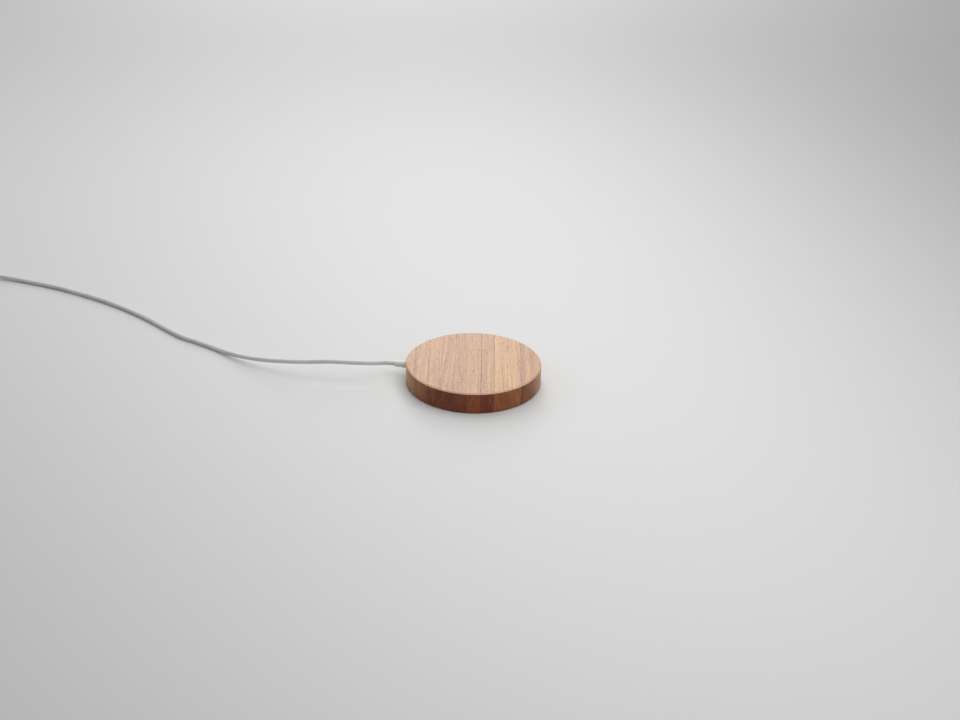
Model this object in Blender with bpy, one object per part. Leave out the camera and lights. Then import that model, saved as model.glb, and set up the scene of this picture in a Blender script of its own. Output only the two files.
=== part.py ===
"""Round wooden charging pad with a captive lead: its case, its inner parts, its lead and its plug.

Metres, +Z up. The origin is the centre of the pad's footprint on the table, and the lead leaves
the case along -X. The wood's grain runs close to Y. Nothing on the pad moves.
"""

import math

import bmesh
import bpy
from mathutils import Vector

MM = 0.001
GAP = 0.3 * MM  # clearance between pieces that touch on the real pad
SMALL_OVERLAP = 0.5 * MM  # how far a cutter or a joined body reaches past the face it meets

# Wooden case, turned from one blank and milled out from below
CASE_RADIUS = 28.3 * MM
CASE_TOP = 9.1 * MM
CASE_BOTTOM = 0.4 * MM
CASE_TOP_ROUNDING = 0.5 * MM
CASE_BOTTOM_CHAMFER = 0.35 * MM
CASE_TOP_SKIN = 1.5 * MM
POCKET_RADIUS = 25.0 * MM
CASE_SEGMENTS = 96

# Base cover, let into the case's underside
COVER_RADIUS = 26.3 * MM
COVER_BOTTOM = 0.5 * MM
COVER_THICKNESS = 1.3 * MM
COVER_EDGE = 0.2 * MM

# Screws up through the cover into ears of wood left in the pocket
SCREW_ANGLES = (0, 120, 240)
SCREW_CIRCLE = 23.4 * MM
SCREW_HEAD_RADIUS = 1.5 * MM
SCREW_ROOT_RADIUS = 0.55 * MM
SCREW_THREAD_RADIUS = 0.7 * MM
SCREW_HEAD_HEIGHT = 0.8 * MM
SCREW_LENGTH = 5.2 * MM
SCREW_PITCH = 0.6 * MM
SCREW_RECESS_WIDTH = 0.4 * MM
SCREW_RECESS_DEPTH = 0.4 * MM
SCREW_HEAD_SUNK = 0.1 * MM
EAR_RADIUS = 2.4 * MM
PILOT_DEPTH = 4.3 * MM

# Rubber feet, let into the cover between the screws
FOOT_ANGLES = (60, 180, 300)
FOOT_CIRCLE = 19.0 * MM
FOOT_RADIUS = 4.0 * MM
FOOT_HEIGHT = 0.9 * MM
FOOT_ROUNDING = 0.15 * MM

# Charging stack, from the wood's ceiling down
ADHESIVE_RADIUS = 20.5 * MM
ADHESIVE_THICKNESS = 0.2 * MM
COIL_THICKNESS = 0.9 * MM
COIL_WIRE_WIDTH = 0.72 * MM
COIL_PITCH = 1.05 * MM
COIL_INNER_RADIUS = 10.4 * MM
COIL_TURNS = 9.1
COIL_START_ANGLE = 40
COIL_STEPS_PER_TURN = 32
FERRITE_RADIUS = 20.8 * MM
FERRITE_THICKNESS = 0.8 * MM
FERRITE_SLOT_ANGLE = 60
FERRITE_SLOT_WIDTH = 1.6 * MM
FERRITE_SLOT_START = 4.0 * MM
FERRITE_WINDOW_RADIUS = 1.6 * MM
BOARD_RADIUS = 24.2 * MM
BOARD_THICKNESS = 0.8 * MM
LEAD_RADIUS = 0.35 * MM

POCKET_TOP = CASE_TOP - CASE_TOP_SKIN
ADHESIVE_BOTTOM = POCKET_TOP - GAP - ADHESIVE_THICKNESS
COIL_BOTTOM = ADHESIVE_BOTTOM - GAP - COIL_THICKNESS
FERRITE_BOTTOM = COIL_BOTTOM - GAP - FERRITE_THICKNESS
BOARD_BOTTOM = FERRITE_BOTTOM - GAP - BOARD_THICKNESS
BOARD_TOP = BOARD_BOTTOM + BOARD_THICKNESS
PARTS_TOP = BOARD_BOTTOM - GAP
COVER_TOP = COVER_BOTTOM + COVER_THICKNESS
LEDGE = COVER_TOP + GAP

# Status light, shown through the wall behind the lead
LIGHT_ANGLE = 155
LIGHT_PIPE_RADIUS = 0.75 * MM
LIGHT_PIPE_INNER = 24.5 * MM
LED_CIRCLE = 22.9 * MM
LED_SIZE = (1.6 * MM, 1.0 * MM, 1.0 * MM)

# Strain relief, moulded on the lead and held by its flange inside the wall
GLAND_HEIGHT = 4.7 * MM
GLAND_FLANGE_RADIUS = 2.3 * MM
GLAND_NECK_RADIUS = 1.35 * MM
GLAND_SLEEVE_RADIUS = 1.45 * MM
GLAND_END_RADIUS = 1.3 * MM
GLAND_FLANGE_START = 24.0 * MM
GLAND_FLANGE_END = 24.7 * MM
GLAND_SLEEVE_START = 28.6 * MM
GLAND_END = 34.1 * MM
WIRE_RADIUS = 0.4 * MM

# Lead, about 1 m long in all, and the round coil that its spare length is wound into
LEAD_CORD_RADIUS = 0.9 * MM
CORD_STEP = 3.6 * MM
CORD_COIL_CENTRE = (-253.0 * MM, 39.5 * MM)
CORD_COIL_INNER = 7.5 * MM
CORD_COIL_OUTER = 13.2 * MM
CORD_COIL_BOTTOM = 0.8 * MM
CORD_COIL_TOP = 8.25 * MM
CORD_COIL_ROUNDING = 0.9 * MM
TIE_ANGLE = -40
TIE_WIDTH = 2.6 * MM
TIE_THICKNESS = 0.5 * MM

# Route of the lead from the strain relief to its coil: a low arch off the gland, then the table
RUN_ROUTE_MM = (
    (-34.7, 0.0, 4.7),
    (-35.9, -0.4, 4.8),
    (-37.6, -2.0, 5.5),
    (-42.0, -5.7, 6.7),
    (-50.0, -8.5, 7.4),
    (-60.0, -9.2, 7.1),
    (-70.0, -10.4, 6.4),
    (-80.0, -9.7, 5.2),
    (-90.0, -7.7, 3.8),
    (-100.0, -3.9, 2.3),
    (-107.5, -0.2, 1.4),
    (-115.5, 4.0, 0.95),
    (-124.0, 7.7, 0.95),
    (-132.5, 11.1, 0.95),
    (-141.5, 16.9, 0.95),
    (-151.5, 23.8, 0.95),
    (-163.0, 30.6, 0.95),
    (-177.0, 37.4, 0.95),
    (-193.0, 43.4, 0.95),
    (-209.0, 47.9, 0.95),
    (-225.0, 50.8, 0.95),
    (-235.0, 51.6, 1.35),
    (-245.3, 51.7, 1.7),
)
# Route from the coil to the plug
TAIL_ROUTE_MM = (
    (-265.2, 31.8, 7.2),
    (-265.0, 28.5, 6.8),
    (-264.2, 25.2, 5.6),
    (-262.9, 22.3, 4.4),
    (-262.1, 20.6, 3.9),
    (-262.0, 19.3, 3.8),
)

# Plug, lying flat beside the coil with its mouth towards -Y; its place is its body's back end
PLUG_PLACE = (-262.0 * MM, 12.0 * MM, 3.8 * MM)
PLUG_BODY = (20.0 * MM, 15.0 * MM, 7.4 * MM)
PLUG_BODY_ROUNDING = 1.6 * MM
PLUG_RELIEF_LENGTH = 6.7 * MM
PLUG_RELIEF_WIDE = 2.1 * MM
PLUG_RELIEF_NARROW = 1.3 * MM
SHELL_SIZE = (18.5 * MM, 12.0 * MM, 4.5 * MM)
SHELL_WALL = 0.35 * MM
SHELL_WINDOW = (2.4 * MM, 2.2 * MM)
SHELL_WINDOW_X = 6.0 * MM
SHELL_WINDOW_Y = 2.8 * MM
TONGUE_BLOCK_LENGTH = 8.6 * MM
TONGUE_LENGTH = 17.2 * MM
TONGUE_THICKNESS = 1.7 * MM
CONTACT_OFFSETS = (-3.5 * MM, -1.0 * MM, 1.0 * MM, 3.5 * MM)
CONTACT_SIZE = (7.6 * MM, 1.0 * MM, 0.25 * MM)


def clear_scene():
    for found in list(bpy.data.objects):
        bpy.data.objects.remove(found, do_unlink=True)


def material(name, colour, roughness, metallic=0.0):
    """A plain Principled material, made once for each name."""
    if name in bpy.data.materials:
        return bpy.data.materials[name]
    made = bpy.data.materials.new(name)
    made.use_nodes = True
    shader = made.node_tree.nodes["Principled BSDF"]
    shader.inputs["Base Color"].default_value = (*colour, 1.0)
    shader.inputs["Roughness"].default_value = roughness
    shader.inputs["Metallic"].default_value = metallic
    return made


def wood():
    return material("brown_wood", (0.33, 0.16, 0.08), 0.5)


def dark_plastic():
    return material("dark_plastic", (0.03, 0.03, 0.032), 0.55)


def pale_jacket():
    return material("pale_jacket", (0.62, 0.63, 0.64), 0.5)


def black_rubber():
    return material("black_rubber", (0.02, 0.02, 0.02), 0.8)


def steel():
    return material("bright_steel", (0.6, 0.6, 0.62), 0.25, 1.0)


def copper():
    return material("enamelled_copper", (0.65, 0.28, 0.1), 0.35, 1.0)


def ceramic():
    return material("tan_ceramic", (0.42, 0.3, 0.18), 0.5)


def chip_black():
    return material("chip_black", (0.02, 0.02, 0.022), 0.4)


def polar(radius, degrees, z=0.0):
    angle = math.radians(degrees)
    return Vector((radius * math.cos(angle), radius * math.sin(angle), z))


def add_object(name, data, finish, location=(0, 0, 0), turn=(0, 0, 0), parent=None):
    made = bpy.data.objects.new(name, data)
    bpy.context.scene.collection.objects.link(made)
    made.location = location
    made.rotation_euler = turn
    made.parent = parent
    if finish:
        data.materials.append(finish)
    return made


def add_empty(name, location, turn=(0, 0, 0)):
    return add_object(name, None, None, location, turn)


def mesh_from(bm, name, smooth_degrees=35):
    """The bmesh as a mesh with its faces turned out, smooth but for edges sharper than the angle."""
    bmesh.ops.recalc_face_normals(bm, faces=bm.faces)
    mesh = bpy.data.meshes.new(name)
    bm.to_mesh(mesh)
    bm.free()
    mesh.shade_smooth()
    mesh.set_sharp_from_angle(angle=math.radians(smooth_degrees))
    return mesh


def turned_mesh(name, outline, segments):
    """A closed mesh from an (r, z) outline turned about Z. An outline from axis to axis makes a solid
    piece with flat or pointed ends, and one that stays off the axis makes a ring."""
    bm = bmesh.new()
    rings = []
    for radius, z in outline:
        count = segments if radius > 0 else 1
        rings.append([bm.verts.new(polar(radius, 360 * i / segments, z)) for i in range(count)])
    pairs = list(zip(rings, rings[1:]))
    if len(rings[0]) > 1:
        pairs.append((rings[-1], rings[0]))
    for first, second in pairs:
        poles = [ring[0] for ring in (first, second) if len(ring) == 1]
        rim = first if len(first) > 1 else second
        if poles and math.isclose(poles[0].co.z, rim[0].co.z):
            bm.faces.new(rim)
            bm.verts.remove(poles[0])
            continue
        for i in range(segments):
            j = (i + 1) % segments
            corners = [ring[k % len(ring)] for ring, k in ((first, i), (first, j), (second, j), (second, i))]
            bm.faces.new(list(dict.fromkeys(corners)))
    return mesh_from(bm, name)


def rounded_box_mesh(name, size, rounding=0.0, segments=2, centre=(0, 0, 0)):
    bm = bmesh.new()
    bmesh.ops.create_cube(bm, size=1.0)
    bmesh.ops.scale(bm, vec=size, verts=bm.verts)
    bmesh.ops.translate(bm, vec=centre, verts=bm.verts)
    if rounding:
        bmesh.ops.bevel(
            bm, geom=bm.edges[:], offset=rounding, segments=segments, affect="EDGES", profile=0.5
        )
    return mesh_from(bm, name)


def lofted_box_mesh(name, sections):
    """A closed mesh through rectangles across X, each (x, width, lowest z, highest z)."""
    bm = bmesh.new()
    rings = []
    for x, width, low, high in sections:
        half = width / 2
        corners = ((-half, low), (half, low), (half, high), (-half, high))
        rings.append([bm.verts.new((x, y, z)) for y, z in corners])
    for first, second in zip(rings, rings[1:]):
        for i in range(4):
            j = (i + 1) % 4
            bm.faces.new((first[i], first[j], second[j], second[i]))
    bm.faces.new(rings[0])
    bm.faces.new(rings[-1])
    return mesh_from(bm, name)


def add_cutter(name, mesh, location=(0, 0, 0), turn=(0, 0, 0)):
    made = add_object(name, mesh, None, location, turn)
    made.hide_render = True
    made.display_type = "WIRE"
    return made


def boolean(target, other, operation="DIFFERENCE"):
    made = target.modifiers.new(other.name, "BOOLEAN")
    made.operation = operation
    made.solver = "EXACT"
    made.object = other


def rod_mesh(name, radius, bottom, top, segments=24):
    return turned_mesh(name, ((0, bottom), (radius, bottom), (radius, top), (0, top)), segments)


def smooth_route(route, step):
    """Points about step apart along the Catmull-Rom curve through the route's own points."""
    held = [Vector(point) for point in route]
    held = [2 * held[0] - held[1]] + held + [2 * held[-1] - held[-2]]
    fine = []
    samples = 24
    for a, b, c, d in zip(held, held[1:], held[2:], held[3:]):
        for k in range(samples):
            t = k / samples
            fine.append(
                0.5 * (2 * b + (c - a) * t + (2 * a - 5 * b + 4 * c - d) * t**2 + (3 * b - 3 * c + d - a) * t**3)
            )
    fine.append(held[-2])
    total = sum((q - p).length for p, q in zip(fine, fine[1:]))
    count = max(2, round(total / step))
    spaced, walked, target = [fine[0]], 0.0, total / count
    for p, q in zip(fine, fine[1:]):
        walked += (q - p).length
        if walked >= target * len(spaced) and len(spaced) < count:
            spaced.append(q)
    return spaced + [fine[-1]]


def tube(name, route, radius, finish, step):
    """A round cord along the smooth curve through the route."""
    points = smooth_route(route, step)
    curve = bpy.data.curves.new(name, "CURVE")
    curve.dimensions = "3D"
    curve.bevel_depth = radius
    curve.bevel_resolution = 2
    curve.use_fill_caps = True
    line = curve.splines.new("POLY")
    line.points.add(len(points) - 1)
    for place, point in zip(line.points, points):
        place.co = (*point, 1.0)
    line.use_smooth = True
    return add_object(name, curve, finish)


def in_metres(route):
    return [Vector(point) * MM for point in route]


def arc(centre, radius, start, end, count):
    """(r, z) points on a rounding about centre, from one angle to another in degrees."""
    steps = [math.radians(start + (end - start) * k / count) for k in range(count + 1)]
    return [(centre[0] + radius * math.cos(a), centre[1] + radius * math.sin(a)) for a in steps]


def make_case():
    """The wooden puck: a turned shell, with ears for the screws and holes for the lead and light."""
    cover_seat = COVER_RADIUS + GAP
    rounding = CASE_TOP_ROUNDING
    outline = [(0, CASE_TOP)]
    outline += arc((CASE_RADIUS - rounding, CASE_TOP - rounding), rounding, 90, 0, 4)
    outline += [
        (CASE_RADIUS, CASE_BOTTOM + CASE_BOTTOM_CHAMFER),
        (CASE_RADIUS - CASE_BOTTOM_CHAMFER, CASE_BOTTOM),
        (cover_seat, CASE_BOTTOM),
        (cover_seat, LEDGE),
        (POCKET_RADIUS, LEDGE),
        (POCKET_RADIUS, POCKET_TOP),
        (0, POCKET_TOP),
    ]
    case = add_object("wood_case", turned_mesh("wood_case", outline, CASE_SEGMENTS), wood())
    ear = rod_mesh("ear", EAR_RADIUS, LEDGE + GAP, POCKET_TOP + SMALL_OVERLAP)
    for number, angle in enumerate(SCREW_ANGLES, 1):
        boolean(case, add_cutter(f"ear_{number}", ear, polar(SCREW_CIRCLE, angle)), "UNION")
    pilot = rod_mesh("pilot", SCREW_THREAD_RADIUS + GAP, LEDGE - SMALL_OVERLAP, LEDGE + PILOT_DEPTH)
    for number, angle in enumerate(SCREW_ANGLES, 1):
        boolean(case, add_cutter(f"pilot_{number}", pilot, polar(SCREW_CIRCLE, angle)))
    wall = CASE_RADIUS - POCKET_RADIUS
    for name, radius, angle, height in (
        ("lead_hole", GLAND_NECK_RADIUS, 180, GLAND_HEIGHT),
        ("light_hole", LIGHT_PIPE_RADIUS, LIGHT_ANGLE, light_height()),
    ):
        bore = rod_mesh(name, radius + GAP, -wall, 2 * wall)
        place = polar(POCKET_RADIUS, angle, height)
        boolean(case, add_cutter(name, bore, place, (0, math.pi / 2, math.radians(angle))))


def make_cover():
    """The round base plate, with countersunk screw holes and shallow seats for the feet."""
    edge = COVER_EDGE
    outline = [
        (0, COVER_BOTTOM),
        (COVER_RADIUS - edge, COVER_BOTTOM),
        (COVER_RADIUS, COVER_BOTTOM + edge),
        (COVER_RADIUS, COVER_TOP),
        (0, COVER_TOP),
    ]
    cover = add_object("base_cover", turned_mesh("base_cover", outline, CASE_SEGMENTS), dark_plastic())
    hole = SCREW_THREAD_RADIUS + GAP
    mouth = SCREW_HEAD_RADIUS + SCREW_HEAD_SUNK + GAP
    sink = turned_mesh(
        "countersink",
        (
            (0, COVER_BOTTOM - SMALL_OVERLAP),
            (mouth, COVER_BOTTOM - SMALL_OVERLAP),
            (mouth, COVER_BOTTOM),
            (hole, COVER_BOTTOM + mouth - hole),
            (hole, COVER_TOP + SMALL_OVERLAP),
            (0, COVER_TOP + SMALL_OVERLAP),
        ),
        24,
    )
    seat_top = FOOT_HEIGHT + GAP
    seat = rod_mesh("foot_seat", FOOT_RADIUS + GAP, COVER_BOTTOM - SMALL_OVERLAP, seat_top, 32)
    for number, angle in enumerate(SCREW_ANGLES, 1):
        boolean(cover, add_cutter(f"countersink_{number}", sink, polar(SCREW_CIRCLE, angle)))
    for number, angle in enumerate(FOOT_ANGLES, 1):
        boolean(cover, add_cutter(f"foot_seat_{number}", seat, polar(FOOT_CIRCLE, angle)))


def make_feet():
    rounded = arc((FOOT_RADIUS - FOOT_ROUNDING, FOOT_ROUNDING), FOOT_ROUNDING, -90, 0, 2)
    outline = [(0, 0)] + rounded + [(FOOT_RADIUS, FOOT_HEIGHT), (0, FOOT_HEIGHT)]
    mesh = turned_mesh("foot", outline, 32)
    for number, angle in enumerate(FOOT_ANGLES, 1):
        add_object(f"foot_{number}", mesh, None, polar(FOOT_CIRCLE, angle))
    mesh.materials.append(black_rubber())


def make_screws():
    """Countersunk self-tapping screws, with ridges for their threads and a cross recess."""
    bottom = COVER_BOTTOM + SCREW_HEAD_SUNK
    tip = bottom + SCREW_LENGTH
    thread_start = bottom + SCREW_HEAD_HEIGHT + SCREW_PITCH
    outline = [(0, bottom), (SCREW_HEAD_RADIUS, bottom)]
    outline += [(SCREW_THREAD_RADIUS, bottom + SCREW_HEAD_HEIGHT), (SCREW_ROOT_RADIUS, thread_start)]
    ridges = int((tip - SCREW_PITCH - thread_start) / SCREW_PITCH)
    for ridge in range(ridges):
        base = thread_start + ridge * SCREW_PITCH
        outline += [(SCREW_THREAD_RADIUS, base + SCREW_PITCH / 2), (SCREW_ROOT_RADIUS, base + SCREW_PITCH)]
    outline.append((0, tip))
    mesh = turned_mesh("screw", outline, 16)
    long_side = 2 * SCREW_THREAD_RADIUS
    depth = 2 * SCREW_RECESS_DEPTH
    bar_x = rounded_box_mesh("recess_bar_x", (long_side, SCREW_RECESS_WIDTH, depth))
    bar_y = rounded_box_mesh("recess_bar_y", (SCREW_RECESS_WIDTH, long_side, depth))
    for number, angle in enumerate(SCREW_ANGLES, 1):
        place = polar(SCREW_CIRCLE, angle)
        screw = add_object(f"screw_{number}", mesh, None, place)
        for bar in (bar_x, bar_y):
            boolean(screw, add_cutter(f"{bar.name}_{number}", bar, place + Vector((0, 0, bottom))))
    mesh.materials.append(steel())


def make_coil():
    """The flat transmit coil: one strip wound in a spiral, wide face down."""
    bm = bmesh.new()
    steps = round(COIL_TURNS * COIL_STEPS_PER_TURN)
    rings = []
    for step in range(steps + 1):
        turns = step / COIL_STEPS_PER_TURN
        middle = COIL_INNER_RADIUS + COIL_PITCH * turns
        angle = COIL_START_ANGLE + 360 * turns
        inner, outer = middle - COIL_WIRE_WIDTH / 2, middle + COIL_WIRE_WIDTH / 2
        low, high = COIL_BOTTOM, COIL_BOTTOM + COIL_THICKNESS
        corners = ((inner, low), (outer, low), (outer, high), (inner, high))
        rings.append([bm.verts.new(polar(radius, angle, z)) for radius, z in corners])
    for first, second in zip(rings, rings[1:]):
        for i in range(4):
            j = (i + 1) % 4
            bm.faces.new((first[i], first[j], second[j], second[i]))
    bm.faces.new(rings[0])
    bm.faces.new(rings[-1])
    add_object("transmit_coil", mesh_from(bm, "transmit_coil"), copper())


def make_coil_leads():
    """The coil's two sleeved ends, down to their pads on the board's upper face."""
    level = COIL_BOTTOM + COIL_THICKNESS / 2
    low = BOARD_TOP + GAP + LEAD_RADIUS
    slot = FERRITE_SLOT_ANGLE
    inner = [
        polar(10.4 * MM, 37, level),
        polar(9.3 * MM, 28, level),
        polar(7.0 * MM, 22, level),
        polar(4.9 * MM, 35, level),
        polar(5.6 * MM, 56, level - 0.1 * MM),
        polar(7.6 * MM, slot, 5.75 * MM),
        polar(9.6 * MM, slot, low),
        polar(16.0 * MM, slot, low),
        polar(22.6 * MM, slot, low),
    ]
    outer = [
        polar(19.98 * MM, 77.2, level),
        polar(20.7 * MM, 81, level),
        polar(21.9 * MM, 86, 5.7 * MM),
        polar(22.5 * MM, 91, low),
        polar(22.6 * MM, 97, low),
    ]
    sleeve = material("white_sleeve", (0.7, 0.68, 0.62), 0.6)
    tube("coil_lead_inner", inner, LEAD_RADIUS, sleeve, 0.9 * MM)
    tube("coil_lead_outer", outer, LEAD_RADIUS, sleeve, 0.9 * MM)


def make_stack():
    """The discs that share the case's axis: adhesive pad, ferrite shield and circuit board."""
    adhesive = rod_mesh(
        "coil_adhesive_pad", ADHESIVE_RADIUS, ADHESIVE_BOTTOM, ADHESIVE_BOTTOM + ADHESIVE_THICKNESS, 64
    )
    add_object("coil_adhesive_pad", adhesive, material("clear_adhesive", (0.6, 0.55, 0.4), 0.4))
    ferrite_top = FERRITE_BOTTOM + FERRITE_THICKNESS
    ferrite = add_object(
        "ferrite_shield",
        rod_mesh("ferrite_shield", FERRITE_RADIUS, FERRITE_BOTTOM, ferrite_top, 64),
        material("grey_ferrite", (0.06, 0.06, 0.065), 0.6),
    )
    window = rod_mesh("window", FERRITE_WINDOW_RADIUS, FERRITE_BOTTOM - GAP, ferrite_top + GAP)
    boolean(ferrite, add_cutter("ferrite_window", window))
    slot_length = FERRITE_RADIUS + SMALL_OVERLAP - FERRITE_SLOT_START
    slot = rounded_box_mesh("slot", (slot_length, FERRITE_SLOT_WIDTH, 2 * FERRITE_THICKNESS))
    middle = FERRITE_SLOT_START + slot_length / 2
    place = polar(middle, FERRITE_SLOT_ANGLE, FERRITE_BOTTOM + FERRITE_THICKNESS / 2)
    boolean(ferrite, add_cutter("ferrite_slot", slot, place, (0, 0, math.radians(FERRITE_SLOT_ANGLE))))

    board = add_object(
        "main_board",
        rod_mesh("main_board", BOARD_RADIUS, BOARD_BOTTOM, BOARD_TOP, 64),
        material("green_board", (0.02, 0.14, 0.06), 0.45),
    )
    bite = rod_mesh("bite", EAR_RADIUS + GAP, BOARD_BOTTOM - GAP, BOARD_TOP + GAP)
    for number, angle in enumerate(SCREW_ANGLES, 1):
        boolean(board, add_cutter(f"board_bite_{number}", bite, polar(SCREW_CIRCLE, angle)))
    notch = rounded_box_mesh("notch", (7.0 * MM, 6.0 * MM, 2 * BOARD_THICKNESS))
    place = (-24.4 * MM, 0, BOARD_BOTTOM + BOARD_THICKNESS / 2)
    boolean(board, add_cutter("lead_notch", notch, place))


def add_chip(name, x, y, size, degrees=0):
    """A moulded chip under the board, with softened edges."""
    mesh = rounded_box_mesh(name, size, 0.08 * MM, 1)
    place = (x, y, PARTS_TOP - size[2] / 2)
    add_object(name, mesh, chip_black(), place, (0, 0, math.radians(degrees)))


def add_two_ended(name, x, y, size, finish, degrees=0):
    """A capacitor or resistor under the board, its body a little slimmer than its metal ends."""
    length, width, height = size
    cap, step = length * 0.18, 0.05 * MM
    half = length / 2
    ends = (width, -height / 2, height / 2)
    body = (width - 2 * step, -height / 2 + step, height / 2 - step)
    sections = [
        (-half, *ends),
        (-half + cap, *ends),
        (-half + cap + step, *body),
        (half - cap - step, *body),
        (half - cap, *ends),
        (half, *ends),
    ]
    place = (x, y, PARTS_TOP - height / 2)
    add_object(name, lofted_box_mesh(name, sections), finish, place, (0, 0, math.radians(degrees)))


def make_board_parts():
    add_chip("controller_chip", 0, -1.0 * MM, (5.0 * MM, 5.0 * MM, 0.9 * MM))
    add_chip("power_stage_chip", -8.5 * MM, 6.0 * MM, (4.0 * MM, 4.0 * MM, 0.8 * MM))
    add_chip("supply_inductor", -7.5 * MM, -8.5 * MM, (3.2 * MM, 3.2 * MM, 1.2 * MM))
    capacitor = (3.2 * MM, 2.5 * MM, 1.2 * MM)
    for number in range(4):
        row, column = divmod(number, 2)
        x, y = (4.5 + 4.6 * column) * MM, (9.0 + 3.6 * row) * MM
        add_two_ended(f"resonant_capacitor_{number + 1}", x, y, capacitor, ceramic())
    small = (2.0 * MM, 1.25 * MM, 1.0 * MM)
    for number in range(2):
        x = (-13.5 + 2.4 * number) * MM
        add_two_ended(f"input_capacitor_{number + 1}", x, -5.5 * MM, small, ceramic(), 90)
    add_two_ended("sense_resistor", -9.0 * MM, 0.5 * MM, (3.2 * MM, 1.6 * MM, 0.6 * MM), chip_black(), 90)
    add_chip("voltage_regulator", -14.5 * MM, 9.5 * MM, (2.9 * MM, 1.6 * MM, 1.1 * MM), 30)
    resistor = (1.6 * MM, 0.8 * MM, 0.5 * MM)
    for number in range(3):
        x = (-3.0 + 3.0 * number) * MM
        add_two_ended(f"signal_resistor_{number + 1}", x, -9.5 * MM, resistor, chip_black(), 90)
    crystal = rounded_box_mesh("crystal", (3.2 * MM, 2.5 * MM, 0.7 * MM), 0.15 * MM, 1)
    add_object("crystal", crystal, steel(), (6.5 * MM, -5.0 * MM, PARTS_TOP - 0.35 * MM))
    thermistor = rounded_box_mesh("coil_thermistor", (1.6 * MM, 0.8 * MM, 0.7 * MM), 0.06 * MM, 1)
    add_object("coil_thermistor", thermistor, ceramic(), (0, 0, BOARD_TOP + GAP + 0.35 * MM))


def light_height():
    return BOARD_TOP + GAP + LED_SIZE[2] / 2


def make_status_light():
    """The side-facing lamp on the board's edge, and the clear rod that carries its light out."""
    turn = (0, 0, math.radians(LIGHT_ANGLE + 90))
    lamp = rounded_box_mesh("status_led", LED_SIZE, 0.06 * MM, 1)
    warm_white = material("led_body", (0.75, 0.75, 0.7), 0.4)
    add_object("status_led", lamp, warm_white, polar(LED_CIRCLE, LIGHT_ANGLE, light_height()), turn)
    length = CASE_RADIUS - LIGHT_PIPE_INNER
    dome = 0.25 * MM
    outline = (
        (0, 0),
        (LIGHT_PIPE_RADIUS, 0),
        (LIGHT_PIPE_RADIUS, length - dome),
        (0.75 * LIGHT_PIPE_RADIUS, length - 0.3 * dome),
        (0, length),
    )
    frosted = material("frosted_plastic", (0.8, 0.8, 0.8), 0.3)
    place = polar(LIGHT_PIPE_INNER, LIGHT_ANGLE, light_height())
    pipe_turn = (0, math.pi / 2, math.radians(LIGHT_ANGLE))
    add_object("light_pipe", turned_mesh("light_pipe", outline, 16), frosted, place, pipe_turn)


def make_gland():
    """The strain relief: a flange inside the wall, a neck through it and a short sleeve outside."""
    tip = 0.4 * MM
    outline = [
        (0, GLAND_FLANGE_START),
        (GLAND_FLANGE_RADIUS, GLAND_FLANGE_START),
        (GLAND_FLANGE_RADIUS, GLAND_FLANGE_END),
        (GLAND_NECK_RADIUS, GLAND_FLANGE_END),
        (GLAND_NECK_RADIUS, GLAND_SLEEVE_START),
        (GLAND_SLEEVE_RADIUS, GLAND_SLEEVE_START),
        (GLAND_END_RADIUS, GLAND_END - tip),
        (GLAND_END_RADIUS - 0.3 * tip, GLAND_END - 0.3 * tip),
        (GLAND_END_RADIUS - tip, GLAND_END),
        (0, GLAND_END),
    ]
    mesh = turned_mesh("cable_gland", outline, 24)
    place, turn = (0, 0, GLAND_HEIGHT), (0, -math.pi / 2, 0)
    add_object("cable_gland", mesh, material("white_overmould", (0.75, 0.75, 0.75), 0.5), place, turn)


def make_inner_wires():
    """The lead's two cores, from the gland's flange down to their pads under the board."""
    start = -(GLAND_FLANGE_START - GAP)
    level = PARTS_TOP - WIRE_RADIUS
    for name, side, colour in (("wire_red", 1, (0.5, 0.02, 0.02)), ("wire_black", -1, (0.02, 0.02, 0.02))):
        route = [
            (start, side * 0.6 * MM, GLAND_HEIGHT),
            (-22.6 * MM, side * 0.9 * MM, 4.0 * MM),
            (-21.3 * MM, side * 1.4 * MM, level),
            (-19.5 * MM, side * 2.0 * MM, level),
            (-17.5 * MM, side * 2.2 * MM, level),
            (-15.5 * MM, side * 2.2 * MM, level),
        ]
        tube(name, route, WIRE_RADIUS, material(name, colour, 0.45), 0.9 * MM)


def make_cord():
    """The lead: its run from the gland, the coil of its spare length, and its tail to the plug."""
    tube("cable_run", in_metres(RUN_ROUTE_MM), LEAD_CORD_RADIUS, pale_jacket(), CORD_STEP)
    tube("cable_tail", in_metres(TAIL_ROUTE_MM), LEAD_CORD_RADIUS, pale_jacket(), 1.8 * MM)
    inner, outer = CORD_COIL_INNER, CORD_COIL_OUTER
    low, high, r = CORD_COIL_BOTTOM, CORD_COIL_TOP, CORD_COIL_ROUNDING
    outline = arc((inner + r, low + r), r, 180, 270, 2)
    outline += arc((outer - r, low + r), r, 270, 360, 2)
    outline += arc((outer - r, high - r), r, 0, 90, 2)
    outline += arc((inner + r, high - r), r, 90, 180, 2)
    mesh = turned_mesh("cable_coil", outline, 48)
    coil_frame = add_empty("coil_frame", (*CORD_COIL_CENTRE, 0))
    add_object("cable_coil", mesh, pale_jacket(), parent=coil_frame)

    band = TIE_THICKNESS
    hole = (outer - inner + 2 * GAP, 2 * TIE_WIDTH, high - low + 2 * GAP)
    size = (hole[0] + 2 * band, TIE_WIDTH, hole[2] + 2 * band)
    place = polar((inner + outer) / 2, TIE_ANGLE, size[2] / 2)
    turn = (0, 0, math.radians(TIE_ANGLE))
    strap = rounded_box_mesh("cable_tie", size, 0.15 * MM, 1)
    tie = add_object("cable_tie", strap, black_rubber(), place, turn, coil_frame)
    inside = add_cutter("tie_hole", rounded_box_mesh("tie_hole", hole), place, turn)
    inside.parent = coil_frame
    boolean(tie, inside)


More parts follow.
